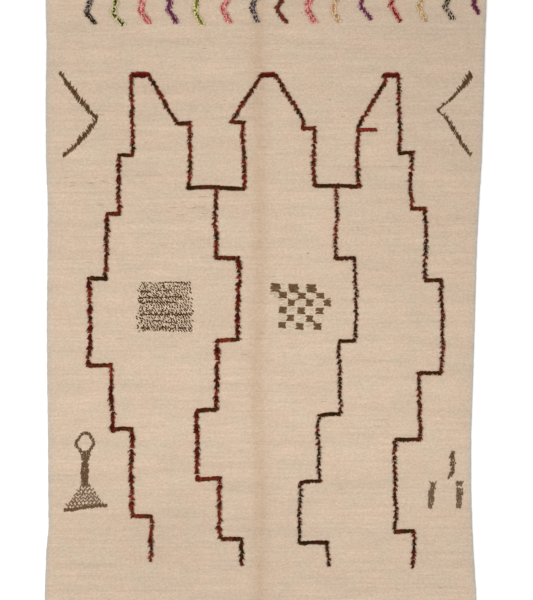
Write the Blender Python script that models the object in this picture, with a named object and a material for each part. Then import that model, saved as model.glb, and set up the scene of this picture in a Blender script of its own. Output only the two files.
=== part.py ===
"""A hand-woven wool rug with knotted motifs, lying flat and face up.

It is one piece of weaving, so it is one solid: a thin cream ground with the motifs standing
a little proud of it. Metres, +Z up. +Y runs along the rug towards the row of small chevrons,
and the origin is under its middle, on the floor.
"""

from collections import namedtuple
from math import hypot, pi, sin

import bmesh
import bpy
import numpy as np

# The whole rug
LENGTH = 2.500
GROUND = 0.006  # thickness of the flat-woven ground
PILE = 0.006  # how far the knotted motifs stand proud of it
ROOT = 0.003  # how far a motif's solid reaches down into the ground
SELVEDGE = 0.0035  # thickness at the rounded rim
RIM = 0.012  # width of the band that thins towards the rim

# The ground's grid, and the soft forms in its face
CELLS_ACROSS = 20
CELLS_ALONG = 28
SWELL = 0.0005  # height of the slow waves that hand weaving leaves
FOLD_X = -0.023  # the soft crease along the rug, where it was kept folded
FOLD_WIDTH = 0.060
FOLD_DEPTH = 0.0012
END_WANDER = 0.004  # how far the ends stray from straight

# The knotted lines
LINE = 0.018
THIN = 0.015
BRANCH_DROP = 0.0004  # every other line lies this much lower than the outline that it may meet
STITCHES = 0.060  # a line can bend once in this length
WANDER = 0.0028  # how far a line strays from where the weaver meant it

# The selvedges: how far each lies from the middle line, at stations along the rug
Station = namedtuple("Station", "along left right")
SELVEDGES = (
    Station(1.25, -0.767, 0.769),
    Station(1.05, -0.766, 0.768),
    Station(0.90, -0.763, 0.762),
    Station(0.70, -0.766, 0.757),
    Station(0.50, -0.765, 0.751),
    Station(0.36, -0.759, 0.742),
    Station(0.20, -0.759, 0.734),
    Station(-0.05, -0.762, 0.727),
    Station(-0.25, -0.761, 0.721),
    Station(-0.45, -0.758, 0.714),
    Station(-0.65, -0.757, 0.714),
    Station(-0.78, -0.756, 0.718),
    Station(-0.86, -0.764, 0.722),
    Station(-1.00, -0.769, 0.731),
    Station(-1.25, -0.768, 0.742),
)

# A stepped line goes down by each drop and then sideways by the shift that follows it
Fall = namedtuple("Fall", "drop shift")
Stair = namedtuple("Stair", "name x y falls")
STAIRS = (
    Stair(
        "left_outer",
        -0.465,
        0.797,
        (
            Fall(0.282, -0.045),
            Fall(0.202, -0.045),
            Fall(0.226, -0.058),
            Fall(0.299, 0.077),
            Fall(0.226, 0.070),
            Fall(0.300, 0.066),
            Fall(0.156, 0),
        ),
    ),
    Stair(
        "left_inner",
        -0.174,
        0.402,
        (
            Fall(0.242, 0.078),
            Fall(0.285, -0.075),
            Fall(0.244, -0.069),
            Fall(0.240, 0.080),
            Fall(0.209, 0.073),
            Fall(0.090, 0),
        ),
    ),
    Stair(
        "right_inner",
        0.244,
        0.409,
        (
            Fall(0.249, 0.067),
            Fall(0.289, -0.055),
            Fall(0.256, -0.072),
            Fall(0.234, -0.066),
            Fall(0.213, 0.098),
            Fall(0.083, 0),
        ),
    ),
    Stair(
        "right_outer",
        0.463,
        0.800,
        (
            Fall(0.276, 0.043),
            Fall(0.195, 0.048),
            Fall(0.245, 0.058),
            Fall(0.324, -0.079),
            Fall(0.230, -0.084),
            Fall(0.323, 0.066),
            Fall(0.129, 0),
        ),
    ),
)

# The crown of three peaks, from the left outer stair's top to the right outer stair's top.
# Each move goes on from the last
Move = namedtuple("Move", "across along")
CROWN = (
    Move(0.058, 0),  # left peak's bar
    Move(0.102, -0.169),
    Move(0.041, 0),
    Move(-0.004, -0.226),
    Move(0.191, 0),  # left hollow's foot
    Move(-0.001, 0.226),
    Move(-0.042, 0.001),
    Move(0.103, 0.170),
    Move(0.047, 0),  # middle peak's bar
    Move(0.101, -0.162),
    Move(-0.002, -0.028),
    Move(0.040, 0),
    Move(-0.002, -0.200),
    Move(0.155, 0),  # right hollow's foot
    Move(-0.004, 0.209),
    Move(0.098, 0.155),
    Move(0, 0.027),
    Move(0.047, 0),  # right peak's bar
)

# Signs that stand alone: the path of each knotted stroke
Stroke = namedtuple("Stroke", "name width path")
STROKES = (
    Stroke("dash", LINE, ((0.316, 0.607), (0.378, 0.607))),
    Stroke(
        "left_arrow",
        THIN,
        ((-0.715, 0.806), (-0.655, 0.725), (-0.588, 0.644), (-0.638, 0.578), (-0.709, 0.512)),
    ),
    Stroke(
        "right_arrow",
        THIN,
        (
            (0.715, 0.804),
            (0.665, 0.730),
            (0.622, 0.692),
            (0.598, 0.671),
            (0.640, 0.622),
            (0.710, 0.512),
        ),
    ),
    Stroke("tally_left", 0.018, ((0.582, -0.617), (0.582, -0.655), (0.574, -0.682), (0.568, -0.727))),
    Stroke("tally_middle", 0.016, ((0.651, -0.512), (0.648, -0.560), (0.649, -0.590), (0.637, -0.616))),
    Stroke("tally_right", 0.021, ((0.676, -0.618), (0.673, -0.655), (0.669, -0.715))),
    Stroke("brooch_stem", 0.027, ((-0.626, -0.510), (-0.629, -0.632))),
    Stroke("brooch_foot_upper", 0.010, ((-0.652, -0.662), (-0.605, -0.660))),
    Stroke("brooch_foot_lower", 0.010, ((-0.676, -0.686), (-0.582, -0.682))),
)

# The brooch sign's closed lines: a diamond ring over a three-cornered foot
BROOCH_LINE = 0.011
BROOCH_RING = (
    (-0.636, -0.447),
    (-0.618, -0.448),
    (-0.595, -0.480),
    (-0.615, -0.509),
    (-0.639, -0.510),
    (-0.662, -0.482),
)
BROOCH_FOOT = ((-0.629, -0.633), (-0.548, -0.703), (-0.710, -0.712))

# The row of small chevrons: each one's corner, which points left, how far its arms' ends lie
# right of the corner, and how far the lower one's end lies below it
ARM_TALL = 0.052  # how far an upper arm's end lies above its corner
Chevron = namedtuple("Chevron", "yarn x y up down fall")
CHEVRONS = (
    Chevron("black", -0.623, 1.017, 0.019, 0.028, 0.042),
    Chevron("lime", -0.529, 1.007, 0.011, 0.031, 0.038),
    Chevron("coral", -0.433, 1.017, 0.013, 0.028, 0.043),
    Chevron("plum", -0.338, 1.021, 0.014, 0.032, 0.047),
    Chevron("lime", -0.246, 1.019, 0.011, 0.031, 0.051),
    Chevron("coral", -0.152, 1.027, 0.028, 0.029, 0.052),
    Chevron("slate", -0.050, 1.030, 0.018, 0.022, 0.053),
    Chevron("maroon", 0.035, 1.027, 0.030, 0.037, 0.048),
    Chevron("pink", 0.140, 1.030, 0.025, 0.029, 0.052),
    Chevron("apricot", 0.231, 1.021, 0.019, 0.019, 0.041),
    Chevron("violet", 0.327, 1.032, 0.017, 0.036, 0.044),
    Chevron("crimson", 0.434, 1.036, 0.023, 0.033, 0.055),
    Chevron("yellow", 0.532, 1.034, 0.023, 0.023, 0.048),
    Chevron("olive", 0.623, 1.032, 0.027, 0.030, 0.044),
    Chevron("violet", 0.722, 1.038, 0.016, 0.022, 0.033),
)

# The ribbed square: rows of small knots across the rug
RIBS = 10
RIB_PITCH = 0.0187
RIB_TOP_Y = 0.073
RIB_LEFT_X = -0.449
RIB_LENGTH = 0.187
RIB_WIDTH = 0.011

# The chequered sign: rows of squares, every second row set half a pitch to the right
CheckRow = namedtuple("CheckRow", "y x count wide tall")
CHECK_PITCH = 0.064
CHECK_ROWS = (
    CheckRow(0.058, 0.032, 3, 0.033, 0.025),
    CheckRow(0.031, 0.059, 3, 0.028, 0.021),
    CheckRow(0.004, 0.089, 3, 0.028, 0.022),
    CheckRow(-0.022, 0.059, 3, 0.028, 0.021),
    CheckRow(-0.048, 0.089, 2, 0.028, 0.022),
    CheckRow(-0.075, 0.059, 3, 0.028, 0.021),
)

# Wool yarns, as linear red, green and blue
YARNS = {
    "cream": (0.64, 0.48, 0.345),
    "dark_brown": (0.040, 0.014, 0.005),
    "grey_brown": (0.130, 0.070, 0.033),
    "black": (0.014, 0.010, 0.006),
    "lime": (0.66, 0.62, 0.24),
    "coral": (0.76, 0.30, 0.28),
    "plum": (0.11, 0.012, 0.060),
    "slate": (0.12, 0.105, 0.13),
    "maroon": (0.080, 0.012, 0.008),
    "pink": (0.66, 0.20, 0.22),
    "apricot": (0.73, 0.50, 0.27),
    "violet": (0.090, 0.014, 0.060),
    "crimson": (0.30, 0.010, 0.016),
    "yellow": (0.72, 0.52, 0.22),
    "olive": (0.10, 0.080, 0.045),
}

# One knotted band: its middle line, its width, its yarn, and whether it closes on itself
Band = namedtuple("Band", "name path width yarn closed")


def clear_scene():
    for item in list(bpy.data.objects):
        bpy.data.objects.remove(item)


def new_collection(name):
    group = bpy.data.collections.new(name)
    bpy.context.scene.collection.children.link(group)
    return group


def wool_material(yarn):
    wool = bpy.data.materials.new(yarn + "_wool")
    wool.use_nodes = True
    shader = wool.node_tree.nodes["Principled BSDF"]
    shader.inputs["Base Color"].default_value = (*YARNS[yarn], 1)
    shader.inputs["Roughness"].default_value = 0.95
    shader.inputs["Metallic"].default_value = 0
    return wool


def face_height(x, y):
    """The ground's top: its thickness, plus slow waves, less the soft crease along the rug."""
    waves = SWELL * (np.sin(5.1 * x + 1.7 * y) + np.sin(4.3 * y - 2.2 * x + 1.0)) / 2
    crease = FOLD_DEPTH * np.exp(-(((x - FOLD_X) / FOLD_WIDTH) ** 2))
    return GROUND + waves - crease


def wander(x, y):
    """Where a point meant for (x, y) ends up: slow sideways waves, with a weaker quick one."""
    across = np.sin(19 * y + 6 * x) + 0.5 * np.sin(47 * y - 9 * x + 2)
    along = np.sin(17 * x - 5 * y + 1) + 0.5 * np.sin(41 * x + 8 * y)
    return x + WANDER * across / 1.5, y + WANDER * along / 1.5


def spread(count, length):
    """Grid lines from 0 to 1 with a narrow band at each end, RIM wide on a side of this length."""
    inner = np.linspace(RIM / length, 1 - RIM / length, count - 1)
    return np.concatenate(([0], inner, [1]))


def weave_ground(group, wool):
    """A grid laid out between the selvedges, closed by a flat underside below it."""
    net = bmesh.new()
    bmesh.ops.create_grid(net, x_segments=CELLS_ACROSS, y_segments=CELLS_ALONG, size=0.5)
    along, left, right = np.array(SELVEDGES).T[:, ::-1]
    width = float(np.mean(right - left))
    columns, rows = spread(CELLS_ACROSS, width), spread(CELLS_ALONG, LENGTH)
    for point in net.verts:
        column = round((point.co.x + 0.5) * CELLS_ACROSS)
        row = round((point.co.y + 0.5) * CELLS_ALONG)
        y = (rows[row] - 0.5) * LENGTH
        at_left, at_right = np.interp(y, along, left), np.interp(y, along, right)
        x = at_left + columns[column] * (at_right - at_left)
        end_pull = END_WANDER * sin(3 * pi * columns[column]) ** 2 * abs(2 * y / LENGTH) ** 20
        on_rim = column in (0, CELLS_ACROSS) or row in (0, CELLS_ALONG)
        height = SELVEDGE if on_rim else face_height(x, y)
        point.co = (x, y - np.sign(y) * end_pull, height)
    lifted = bmesh.ops.extrude_face_region(net, geom=list(net.faces))["geom"]
    for point in [item for item in lifted if isinstance(item, bmesh.types.BMVert)]:
        point.co.z = 0
    bmesh.ops.recalc_face_normals(net, faces=list(net.faces))
    return finish_mesh("rug", net, group, wool)


def finish_mesh(name, net, group, wool):
    """The net as an object of triangles, so that no face is bent."""
    bmesh.ops.triangulate(net, faces=list(net.faces))
    mesh = bpy.data.meshes.new(name)
    net.to_mesh(mesh)
    net.free()
    mesh.materials.append(wool)
    piece = bpy.data.objects.new(name, mesh)
    group.objects.link(piece)
    return piece


def pile_profile(width, height):
    """The section of a band of pile, an upright side and a rounded top, as a closed 2D curve."""
    half = width / 2
    section = (
        (-half, 0),
        (-half, 0.62 * height),
        (-0.72 * half, 0.90 * height),
        (-0.25 * half, height),
        (0.25 * half, height),
        (0.72 * half, 0.90 * height),
        (half, 0.62 * height),
        (half, 0),
    )
    curve = bpy.data.curves.new("pile_profile", "CURVE")
    curve.dimensions = "2D"
    spline = curve.splines.new("POLY")
    spline.points.add(len(section) - 1)
    for point, (across, up) in zip(spline.points, section):
        point.co = (across, up, 0, 1)
    spline.use_cyclic_u = True
    return bpy.data.objects.new("pile_profile", curve)


def hand_drawn(path, closed):
    """The path with a point every STITCHES or so along it, each one strayed a little."""
    ends = list(path) + ([path[0]] if closed else [])
    points = []
    for (x0, y0), (x1, y1) in zip(ends, ends[1:]):
        steps = max(1, round(hypot(x1 - x0, y1 - y0) / STITCHES))
        points += [(x0 + (x1 - x0) * i / steps, y0 + (y1 - y0) * i / steps) for i in range(steps)]
    return [wander(x, y) for x, y in points + ([] if closed else [ends[-1]])]


def knot_band(band, height, group, wool):
    """A band of pile along a path: the profile carried round its corners, made a closed mesh."""
    curve = bpy.data.curves.new(band.name, "CURVE")
    curve.dimensions = "2D"
    path = hand_drawn(band.path, band.closed)
    spline = curve.splines.new("POLY")
    spline.points.add(len(path) - 1)
    for point, (x, y) in zip(spline.points, path):
        point.co = (x, y, 0, 1)
    spline.use_cyclic_u = band.closed
    profile = pile_profile(band.width, height)
    group.objects.link(profile)
    curve.bevel_mode = "OBJECT"
    curve.bevel_object = profile
    curve.use_fill_caps = not band.closed
    guide = bpy.data.objects.new(band.name + "_guide", curve)
    guide.location.z = GROUND - ROOT
    group.objects.link(guide)
    bpy.context.view_layer.update()
    swept = guide.evaluated_get(bpy.context.evaluated_depsgraph_get())
    mesh = bpy.data.meshes.new_from_object(swept)
    net = bmesh.new()
    net.from_mesh(mesh)
    net.transform(guide.matrix_world)
    bmesh.ops.remove_doubles(net, verts=list(net.verts), dist=0.00001)
    bmesh.ops.recalc_face_normals(net, faces=list(net.faces))
    bpy.data.objects.remove(guide)
    bpy.data.objects.remove(profile)
    bpy.data.meshes.remove(mesh)
    return finish_mesh(band.name, net, group, wool)


def stair_path(stair):
    """The stepped line's corners, from its top down."""
    x, y = stair.x, stair.y
    path = [(x, y)]
    for fall in stair.falls:
        y -= fall.drop
        path.append((x, y))
        if fall.shift:
            x += fall.shift
            path.append((x, y))
    return path


def outline_path(left_outer, right_outer):
    """One line: up the left outer stair, over the three peaks and down the right outer stair."""
    x, y = left_outer.x, left_outer.y
    path = stair_path(left_outer)[:0:-1] + [(x, y)]
    for move in CROWN:
        x, y = x + move.across, y + move.along
        path.append((x, y))
    return path + stair_path(right_outer)[1:]


def outline_and_stairs():
    left_outer, left_inner, right_inner, right_outer = STAIRS
    outline = outline_path(left_outer, right_outer)
    yield Band("outline", outline, LINE, "dark_brown", False)
    for stair in (left_inner, right_inner):
        yield Band(stair.name, stair_path(stair), LINE, "dark_brown", False)


def lone_signs():
    for stroke in STROKES:
        yarn = "crimson" if stroke.name == "dash" else "grey_brown"
        yield Band(stroke.name, stroke.path, stroke.width, yarn, False)
    yield Band("brooch_ring", BROOCH_RING, BROOCH_LINE, "grey_brown", True)
    yield Band("brooch_foot", BROOCH_FOOT, BROOCH_LINE, "grey_brown", True)


def chevrons():
    for number, chevron in enumerate(CHEVRONS):
        x, y = chevron.x, chevron.y
        path = ((x + chevron.up, y + ARM_TALL), (x, y), (x + chevron.down, y - chevron.fall))
        yield Band(f"chevron_{number + 1}", path, THIN, chevron.yarn, False)


def ribbed_square():
    for number in range(RIBS):
        y = RIB_TOP_Y - number * RIB_PITCH
        path = ((RIB_LEFT_X, y), (RIB_LEFT_X + RIB_LENGTH, y))
        yield Band(f"rib_{number + 1}", path, RIB_WIDTH, "grey_brown", False)


def chequered_sign():
    for level, row in enumerate(CHECK_ROWS):
        for number in range(row.count):
            x = row.x + number * CHECK_PITCH
            path = ((x - row.wide / 2, row.y), (x + row.wide / 2, row.y))
            yield Band(f"check_{level + 1}_{number + 1}", path, row.tall, "grey_brown", False)


def build():
    clear_scene()
    rug_parts = new_collection("beni_ourain_rug")
    cutters = new_collection("knotted_bands")
    wools = {yarn: wool_material(yarn) for yarn in YARNS}
    rug = weave_ground(rug_parts, wools["cream"])
    makers = (outline_and_stairs, lone_signs, chevrons, ribbed_square, chequered_sign)
    for band in [band for maker in makers for band in maker()]:
        height = ROOT + PILE - (0 if band.name == "outline" else BRANCH_DROP)
        knotted = knot_band(band, height, cutters, wools[band.yarn])
        knotted.hide_render = True
        knotted.display_type = "WIRE"
    knots = rug.modifiers.new("knots", "BOOLEAN")
    knots.operation = "UNION"
    knots.operand_type = "COLLECTION"
    knots.collection = cutters
    knots.material_mode = "TRANSFER"


build()
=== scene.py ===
"""A hand-woven wool rug seen from straight above, lying on a pale floor.

Metres, +Z up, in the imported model's frame: +Y runs along the rug towards its row of small
chevrons, and the origin is under its middle, on the floor.
"""

from collections import namedtuple

import bpy
import numpy as np
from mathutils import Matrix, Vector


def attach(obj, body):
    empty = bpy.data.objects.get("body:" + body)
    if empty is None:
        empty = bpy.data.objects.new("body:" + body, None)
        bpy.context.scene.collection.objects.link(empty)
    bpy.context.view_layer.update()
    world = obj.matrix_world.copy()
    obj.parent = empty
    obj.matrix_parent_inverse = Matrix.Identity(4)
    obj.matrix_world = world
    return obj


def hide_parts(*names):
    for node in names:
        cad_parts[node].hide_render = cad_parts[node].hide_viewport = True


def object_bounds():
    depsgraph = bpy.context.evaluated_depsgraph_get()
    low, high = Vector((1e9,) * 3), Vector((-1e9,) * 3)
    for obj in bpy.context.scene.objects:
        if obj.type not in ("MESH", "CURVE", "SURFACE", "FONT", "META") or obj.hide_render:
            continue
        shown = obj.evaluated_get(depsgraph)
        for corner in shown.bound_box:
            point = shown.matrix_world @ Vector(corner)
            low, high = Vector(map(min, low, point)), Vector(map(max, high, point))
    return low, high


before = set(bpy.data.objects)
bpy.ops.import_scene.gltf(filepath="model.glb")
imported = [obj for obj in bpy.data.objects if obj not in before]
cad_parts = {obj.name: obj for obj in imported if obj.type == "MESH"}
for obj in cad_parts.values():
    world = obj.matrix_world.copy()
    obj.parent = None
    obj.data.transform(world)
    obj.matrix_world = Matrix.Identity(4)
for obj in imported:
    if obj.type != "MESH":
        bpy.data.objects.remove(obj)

cad_low, cad_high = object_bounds()


# --------------------------------------
# The ground: one cloth of hand-spun cream wool, woven flat on an upright loom, its wefts beaten
# down until they hide the warps. It turns round a stout warp at each selvedge, keeps a soft
# crease where it lay folded, and is woven off plain at both ends.

RUG_LENGTH = cad_high.y - cad_low.y
RUG_WIDTH = 1.5  # on average
GROUND = 0.006  # thickness of the cloth
RIM_HEIGHT = 0.0019  # where its top and its underside meet, over the floor
ROLL = 0.0042  # how far in from the rim its rounding reaches
RIM_LINES = (0.0005, 0.0016, 0.0032, 0.0055, 0.0080, 0.0105, 0.0135, 0.0180)  # in from a side
COLUMNS = 168
ROWS = 286
RIDGES = 0.00016  # height of the unevenness along the wefts
DIMPLES = 0.00022  # and of that in every direction
EDGE_WARP = 0.0007  # how far the stout edge warp lifts the cloth
EDGE_WARP_IN = 0.0060  # how far in from the rim it runs
EDGE_WARP_WIDTH = 0.0035
EDGE_SHADE_BAND = 0.022  # how far in the rim is painted grey: shade where the edge rolls down
SWELL = 0.0005  # height of the slow waves that hand weaving leaves
FOLD_X = -0.023  # the soft crease along the rug
FOLD_WIDTH = 0.060
FOLD_DEPTH = 0.0012
END_WANDER = 0.004  # how far the ends stray from straight
WEFT_PULL = 0.0009  # how far each turn of the weft draws the selvedge in

# How far along the rug, and where its left and its right selvedge are there
SELVEDGES = (
    (-1.25, -0.768, 0.742), (-1.00, -0.769, 0.731), (-0.86, -0.764, 0.722), (-0.78, -0.756, 0.718),
    (-0.65, -0.757, 0.714), (-0.45, -0.758, 0.714), (-0.25, -0.761, 0.721), (-0.05, -0.762, 0.727),
    (0.20, -0.759, 0.734), (0.36, -0.759, 0.742), (0.50, -0.765, 0.751), (0.70, -0.766, 0.757),
    (0.90, -0.763, 0.762), (1.05, -0.766, 0.768), (1.25, -0.767, 0.769),
)


def small_waves(x, y, count, across, along, seed):
    """The mean of count sine waves over the plane, whose angular rates across and along are
    drawn evenly up to those given and whose starts are drawn at random: about -1 to 1."""
    draw = np.random.default_rng(seed)
    rates_x = draw.uniform(-across, across, count)
    rates_y = draw.uniform(0.3 * along, along, count)
    starts = draw.uniform(0, 2 * np.pi, count)
    waves = np.sin(x[..., None] * rates_x + y[..., None] * rates_y + starts)
    return waves.mean(axis=-1) * np.sqrt(count) / 2


def ground_height(x, y):
    """The top of the cloth: its thickness and slow waves, less the crease, which is a bell
    curve across the rug."""
    waves = SWELL * (np.sin(5.1 * x + 1.7 * y) + np.sin(4.3 * y - 2.2 * x + 1.0)) / 2
    crease = FOLD_DEPTH * np.exp(-(((x - FOLD_X) / FOLD_WIDTH) ** 2))
    return GROUND + waves - crease


def cloth_top(x, y):
    """The ground's height with the weaver's unevenness: ridges along the wefts and dimples."""
    ridges = small_waves(x, y, 9, 4, 190, seed=3)
    dimples = small_waves(x, y, 12, 95, 95, seed=4)
    return ground_height(x, y) + RIDGES * ridges + DIMPLES * dimples


def rounding(inwards):
    """A quarter of a circle's rise: 0 at the rim and 1 from ROLL inwards."""
    share = np.clip(inwards / ROLL, 0, 1)
    return np.sqrt(1 - (1 - share) ** 2)


def grid_lines(count, side):
    """Shares of a side from 0 to 1: RIM_LINES at both ends, and even steps between them."""
    rim = np.array(RIM_LINES)
    even = np.linspace(rim[-1], side - rim[-1], count + 1 - 2 * len(rim))
    return np.concatenate(([0], rim[:-1], even, side - rim[:-1][::-1], [side])) / side


def make_mesh(name, points, faces, material):
    """An object at the origin with these points and faces, smoothly shaded."""
    mesh = bpy.data.meshes.new(name)
    mesh.from_pydata(points, [], faces)
    mesh.shade_smooth()
    mesh.materials.append(material)
    piece = bpy.data.objects.new(name, mesh)
    bpy.context.scene.collection.objects.link(piece)
    return piece


def weave_cloth(name, material):
    """A closed skin on a grid of columns u and rows v. The top face's point is at x = left +
    u (right - left), at y from v, and at the cloth's top height; the underside has the same x
    and y on the floor. Towards the rim both draw in to RIM_HEIGHT by the rounding, so there
    they share their points."""
    v = grid_lines(ROWS, RUG_LENGTH)[:, None]
    u = grid_lines(COLUMNS, RUG_WIDTH)[None, :]
    y = (v - 0.5) * RUG_LENGTH + 0 * u
    along, left, right = np.array(SELVEDGES).T
    pull = WEFT_PULL * small_waves(0 * y, y, 7, 1, 260, seed=5)
    at_left = np.interp(y, along, left) + pull
    at_right = np.interp(y, along, right) + pull * np.sin(11 * y)
    x = at_left + u * (at_right - at_left)
    from_side = np.minimum(x - at_left, at_right - x)
    from_end = RUG_LENGTH / 2 - np.abs(y)
    fullness = rounding(from_side) * rounding(from_end)
    warp = EDGE_WARP * np.exp(-(((from_side - EDGE_WARP_IN) / EDGE_WARP_WIDTH) ** 2))
    top = RIM_HEIGHT + (cloth_top(x, y) + warp - RIM_HEIGHT) * fullness
    underside = RIM_HEIGHT * (1 - fullness)
    end_pull = END_WANDER * np.sin(3 * np.pi * u) ** 2 * np.abs(2 * y / RUG_LENGTH) ** 20
    y = y - np.sign(y) * end_pull
    inner = (slice(1, -1), slice(1, -1))
    upper = np.stack((x, y, top), axis=-1).reshape(-1, 3)
    lower = np.stack((x, y, underside), axis=-1)[inner].reshape(-1, 3)
    above = np.arange(x.size).reshape(x.shape)
    below = above.copy()
    below[inner] = x.size + np.arange(len(lower)).reshape(below[inner].shape)
    face_up = (above[:-1, :-1], above[:-1, 1:], above[1:, 1:], above[1:, :-1])
    face_down = (below[:-1, :-1], below[1:, :-1], below[1:, 1:], below[:-1, 1:])
    quads = np.concatenate([np.stack(q, axis=-1).reshape(-1, 4) for q in (face_up, face_down)])
    corner = np.array((COLUMNS - 1, (ROWS - 1) * COLUMNS))  # turned, so none splits along the rim
    corner = np.concatenate((corner, corner + ROWS * COLUMNS))
    quads[corner] = np.roll(quads[corner], 1, axis=1)
    cloth = make_mesh(name, np.concatenate((upper, lower)), quads.tolist(), material)
    # Painted shade: how grey the rim is made, where the cloth rolls down to the floor
    edge_shade = np.clip(1 - np.minimum(from_side, from_end) / EDGE_SHADE_BAND, 0, 1)
    edge_shade_layer = cloth.data.attributes.new("painted_edge_shade", "FLOAT", "POINT")
    edge_shade_layer.data.foreach_set("value", np.concatenate((edge_shade.ravel(), edge_shade[inner].ravel())))
    return cloth


def new_material(name):
    """A material with this name, its node tree and its shader."""
    material = bpy.data.materials.new(name)
    material.use_nodes = True
    return material, material.node_tree, material.node_tree.nodes["Principled BSDF"]


def add_node(tree, kind, inputs, **settings):
    """A shader node with its settings given by name and its inputs by name or number. An input
    may be a value or a socket."""
    made = tree.nodes.new("ShaderNode" + kind)
    for key, value in settings.items():
        setattr(made, key, value)
    for key, value in inputs.items():
        if isinstance(value, bpy.types.NodeSocket):
            tree.links.new(value, made.inputs[key])
        else:
            made.inputs[key].default_value = value
    return made


def maths(tree, operation, *values):
    """A Math node's result."""
    node = add_node(tree, "Math", dict(enumerate(values)), operation=operation)
    return node.outputs[0]


def swing(tree, value, size):
    """A value that averages 1/2, made a factor that averages 1 and strays by up to size."""
    return maths(tree, "MULTIPLY_ADD", value, 2 * size, 1 - size)


def product(tree, *factors):
    """The factors multiplied together."""
    result = factors[0]
    for factor in factors[1:]:
        result = maths(tree, "MULTIPLY", result, factor)
    return result


def smooth_step(tree, value, low, high):
    """0 below low, 1 above high, and a smooth rise between them."""
    inputs = {"Value": value, "From Min": low, "From Max": high}
    return add_node(tree, "MapRange", inputs, interpolation_type="SMOOTHSTEP").outputs[0]


def mixed(tree, share, first, second, blend="MIX"):
    """A colour mix's result. Its sockets 0, 6 and 7 are the share and the two colours."""
    inputs = {0: share, 6: first, 7: second}
    settings = {"data_type": "RGBA", "blend_type": blend, "clamp_factor": True}
    return add_node(tree, "Mix", inputs, **settings).outputs[2]


def toned(tree, colour, tone):
    """The colour times the tone."""
    grey = add_node(tree, "CombineColor", {"Red": tone, "Green": tone, "Blue": tone})
    return mixed(tree, 1.0, colour, grey.outputs[0], "MULTIPLY")


def noise(tree, place, scale, detail):
    """Noise from 0 to 1 whose patches are about 1/scale of the place's units."""
    inputs = {"Vector": place, "Scale": scale, "Detail": detail}
    return add_node(tree, "TexNoise", inputs).outputs["Fac"]


def patches(tree, place, stretch, detail=2.0):
    """Noise whose patches are about 1/stretch metres along X, Y and Z."""
    spread = add_node(tree, "Mapping", {"Vector": place, "Scale": stretch}).outputs[0]
    return noise(tree, spread, 1.0, detail)


def levels_along(tree, value, low, high, levels):
    """A smooth curve near evenly spaced levels as the value goes from low to high. The ramp
    holds each level's share of the highest, since its smooth curve stops at 1."""
    given = {"Value": value, "From Min": low, "From Max": high}
    share = add_node(tree, "MapRange", given).outputs[0]
    ramp = add_node(tree, "ValToRGB", {"Fac": share})
    ramp.color_ramp.interpolation = "B_SPLINE"
    while len(ramp.color_ramp.elements) < len(levels):
        ramp.color_ramp.elements.new(0.5)
    for number, level in enumerate(np.array(levels) / max(levels)):
        ramp.color_ramp.elements[number].position = number / (len(levels) - 1)
        ramp.color_ramp.elements[number].color = (level, level, level, 1)
    return maths(tree, "MULTIPLY", ramp.outputs["Color"], max(levels))


def make_wool_fibres():
    """Wool's own fineness as a node group: a hairy grain, and soft clouds where the hand-spun
    yarn is thicker. Tone is about 1 and Height runs from 0 to 1."""
    tree = bpy.data.node_groups.new("wool_fibres", "ShaderNodeTree")
    for label, kind in (("Vector", "NodeSocketVector"), ("Strength", "NodeSocketFloat")):
        tree.interface.new_socket(label, in_out="INPUT", socket_type=kind)
    for label in ("Tone", "Height"):
        tree.interface.new_socket(label, in_out="OUTPUT", socket_type="NodeSocketFloat")
    given = tree.nodes.new("NodeGroupInput").outputs
    result = tree.nodes.new("NodeGroupOutput").inputs
    hairs = noise(tree, given["Vector"], 900.0, 3.0)
    clouds = noise(tree, given["Vector"], 210.0, 2.0)
    both = maths(tree, "ADD", hairs, clouds)
    stray = maths(tree, "MULTIPLY", maths(tree, "SUBTRACT", both, 1.0), given["Strength"])
    tree.links.new(maths(tree, "ADD", stray, 1.0), result["Tone"])
    tree.links.new(maths(tree, "MULTIPLY", both, 0.5), result["Height"])
    return tree


WOOL_FIBRES = make_wool_fibres()

CREAM_WARM = (0.622, 0.467, 0.345, 1)
CREAM_COOL = (0.604, 0.473, 0.350, 1)
CREASE_BROWN = (0.545, 0.395, 0.272, 1)
# Painted shade: the grey given to the rim where the cloth rolls down to the floor
EDGE_SHADE_GREY = (0.500, 0.452, 0.392, 1)
CREASE_REACH = 0.030  # how far to each side the crease is browned
CREASE_SHARE = 0.76  # how brown it is along its middle
WARP_PITCH = 0.0062
WEFT_PITCH = 0.0027
TONE_ALONG = (0.948, 0.930, 1.005, 1.005, 1.00, 1.00, 1.00, 1.00, 0.995, 1.00)  # foot to head
# Tones across: partly the cloth's own unevenness, partly painted light falloff, darker at the
# right-hand head
TONE_ACROSS = (0.99, 1.00, 1.01, 1.03, 1.045, 1.02, 0.975, 0.96)  # left foot to right head


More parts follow.
